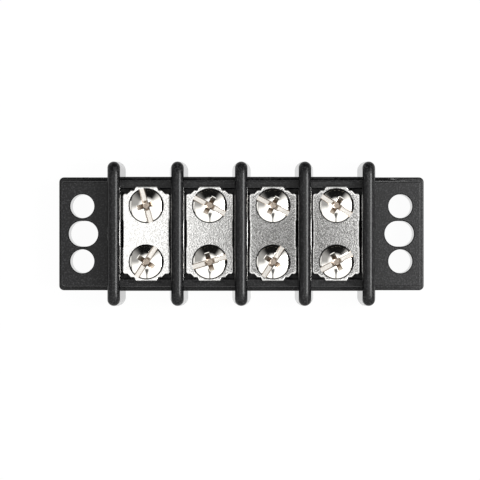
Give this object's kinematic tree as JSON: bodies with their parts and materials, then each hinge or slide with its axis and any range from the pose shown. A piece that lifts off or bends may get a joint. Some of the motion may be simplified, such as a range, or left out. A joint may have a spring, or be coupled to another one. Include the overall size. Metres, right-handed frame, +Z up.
{
  "type": "barrier terminal strip",
  "caption": "Black moulded terminal strip with tall fins between its poles, nickel plates under slotted-cross screws, and a drilled mounting ear at each end.",
  "frame": {"origin": "centre of the flat underside", "axes": "+X along the strip, +Y across it to the back row of screws, +Z up through the screws"},
  "size_m": [0.0832, 0.033, 0.0179],
  "materials": {
    "moulding": "satin moulded thermoset",
    "plate_nickel": "matte nickel plate",
    "screw_nickel": "bright nickel plate",
    "insert_brass": "turned"
  },
  "bodies": {
    "strip": {"base_moulding": "moulding", "terminal_plate_1": "plate_nickel", "terminal_plate_2": "plate_nickel", "terminal_plate_3": "plate_nickel", "terminal_plate_4": "plate_nickel", "threaded_insert_1_front": "insert_brass", "threaded_insert_1_back": "insert_brass", "threaded_insert_2_front": "insert_brass", "threaded_insert_2_back": "insert_brass", "threaded_insert_3_front": "insert_brass", "threaded_insert_3_back": "insert_brass", "threaded_insert_4_front": "insert_brass", "threaded_insert_4_back": "insert_brass"},
    "screw_1_front": {"terminal_screw_1_front": "screw_nickel"},
    "screw_1_back": {"terminal_screw_1_back": "screw_nickel"},
    "screw_2_front": {"terminal_screw_2_front": "screw_nickel"},
    "screw_2_back": {"terminal_screw_2_back": "screw_nickel"},
    "screw_3_front": {"terminal_screw_3_front": "screw_nickel"},
    "screw_3_back": {"terminal_screw_3_back": "screw_nickel"},
    "screw_4_front": {"terminal_screw_4_front": "screw_nickel"},
    "screw_4_back": {"terminal_screw_4_back": "screw_nickel"}
  },
  "joints": [
    {"name": "screw_1_front_turn", "type": "hinge", "parent": "strip", "child": "screw_1_front", "pos_m": [-0.02143, -0.00635, 0.0116], "axis": [0, 0, 1], "range_deg": [0, 3400]},
    {"name": "screw_1_back_turn", "type": "hinge", "parent": "strip", "child": "screw_1_back", "pos_m": [-0.02143, 0.00635, 0.0116], "axis": [0, 0, 1], "range_deg": [0, 3400]},
    {"name": "screw_2_front_turn", "type": "hinge", "parent": "strip", "child": "screw_2_front", "pos_m": [-0.00715, -0.00635, 0.0116], "axis": [0, 0, 1], "range_deg": [0, 3400]},
    {"name": "screw_2_back_turn", "type": "hinge", "parent": "strip", "child": "screw_2_back", "pos_m": [-0.00715, 0.00635, 0.0116], "axis": [0, 0, 1], "range_deg": [0, 3400]},
    {"name": "screw_3_front_turn", "type": "hinge", "parent": "strip", "child": "screw_3_front", "pos_m": [0.00715, -0.00635, 0.0116], "axis": [0, 0, 1], "range_deg": [0, 3400]},
    {"name": "screw_3_back_turn", "type": "hinge", "parent": "strip", "child": "screw_3_back", "pos_m": [0.00715, 0.00635, 0.0116], "axis": [0, 0, 1], "range_deg": [0, 3400]},
    {"name": "screw_4_front_turn", "type": "hinge", "parent": "strip", "child": "screw_4_front", "pos_m": [0.02143, -0.00635, 0.0116], "axis": [0, 0, 1], "range_deg": [0, 3400]},
    {"name": "screw_4_back_turn", "type": "hinge", "parent": "strip", "child": "screw_4_back", "pos_m": [0.02143, 0.00635, 0.0116], "axis": [0, 0, 1], "range_deg": [0, 3400]}
  ]
}
